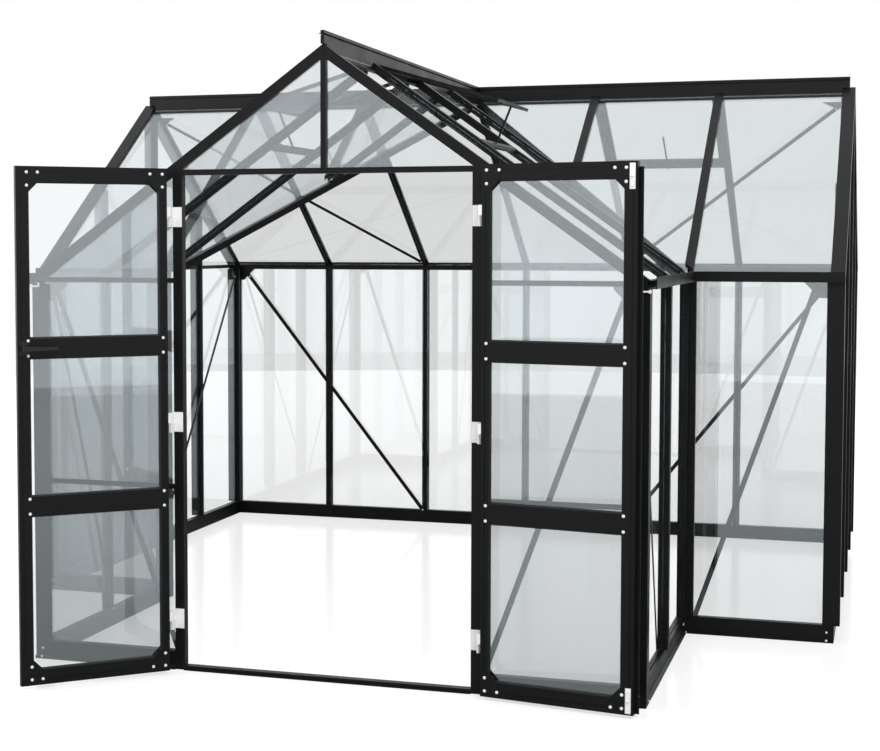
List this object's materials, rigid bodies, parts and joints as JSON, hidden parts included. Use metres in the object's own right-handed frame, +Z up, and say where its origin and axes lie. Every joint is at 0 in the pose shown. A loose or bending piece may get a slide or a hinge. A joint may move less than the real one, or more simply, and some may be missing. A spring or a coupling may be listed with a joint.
{
  "type": "glass greenhouse",
  "caption": "T-plan glass greenhouse: black metal frame on a base ring, gabled wing, gabled porch with outward hinged double doors, roof windows, gutters and braces",
  "frame": {"origin": "on the ground under the middle of the doorway, in the outer plane of the porch's front wall, on the underside of the threshold", "axes": "+X to the right seen from in front of the doors, +Y into the house, +Z up"},
  "size_m": [3.788, 4.2425, 2.512],
  "materials": {
    "frame_black": "black powder coat, satin",
    "glass": "clear toughened glass with a pale blue-grey cast",
    "hinge_white": "white powder coat",
    "white_fittings": "white coated steel",
    "lever_black": "black, satin"
  },
  "bodies": {
    "house": {"back_roof_glass": "glass", "back_wall_glass": "glass", "base_rails_across": "frame_black", "base_rails_along": "frame_black", "braces": "frame_black", "corner_posts": "frame_black", "door_catches": "white_fittings", "door_head": "frame_black", "door_jambs": "frame_black", "eaves_across": "frame_black", "eaves_along": "frame_black", "front_glass": "glass", "gable_bars": "frame_black", "gable_glass": "glass", "gable_rafters": "frame_black", "glazing_strips": "frame_black", "gussets": "frame_black", "jamb_hinges": "hinge_white", "porch_rafters": "frame_black", "porch_ridge": "frame_black", "porch_roof_glass": "glass", "side_wall_glass": "glass", "threshold": "frame_black", "valley_bars": "frame_black", "vent_frames": "frame_black", "vent_glass": "glass", "vent_sills": "frame_black", "vent_stays": "frame_black", "wall_bars": "frame_black", "wing_front_roof_glass": "glass", "wing_rafters": "frame_black", "wing_ridge": "frame_black"},
    "left_door": {"left_door_corner_plates": "frame_black", "left_door_glass": "glass", "left_door_hinges": "hinge_white", "left_door_levers": "lever_black", "left_door_rails": "frame_black", "left_door_stiles": "frame_black"},
    "right_door": {"right_door_astragal": "frame_black", "right_door_bolts": "white_fittings", "right_door_corner_plates": "frame_black", "right_door_glass": "glass", "right_door_hinges": "hinge_white", "right_door_rails": "frame_black", "right_door_stiles": "frame_black"}
  },
  "joints": [
    {"name": "left_door_hinge", "type": "hinge", "parent": "house", "child": "left_door", "pos_m": [-0.625, -0.036, 0.99], "axis": [0, 0, 1], "range_deg": [-37, 138]},
    {"name": "right_door_hinge", "type": "hinge", "parent": "house", "child": "right_door", "pos_m": [0.625, -0.036, 0.99], "axis": [0, 0, 1], "range_deg": [-171, 4]}
  ]
}
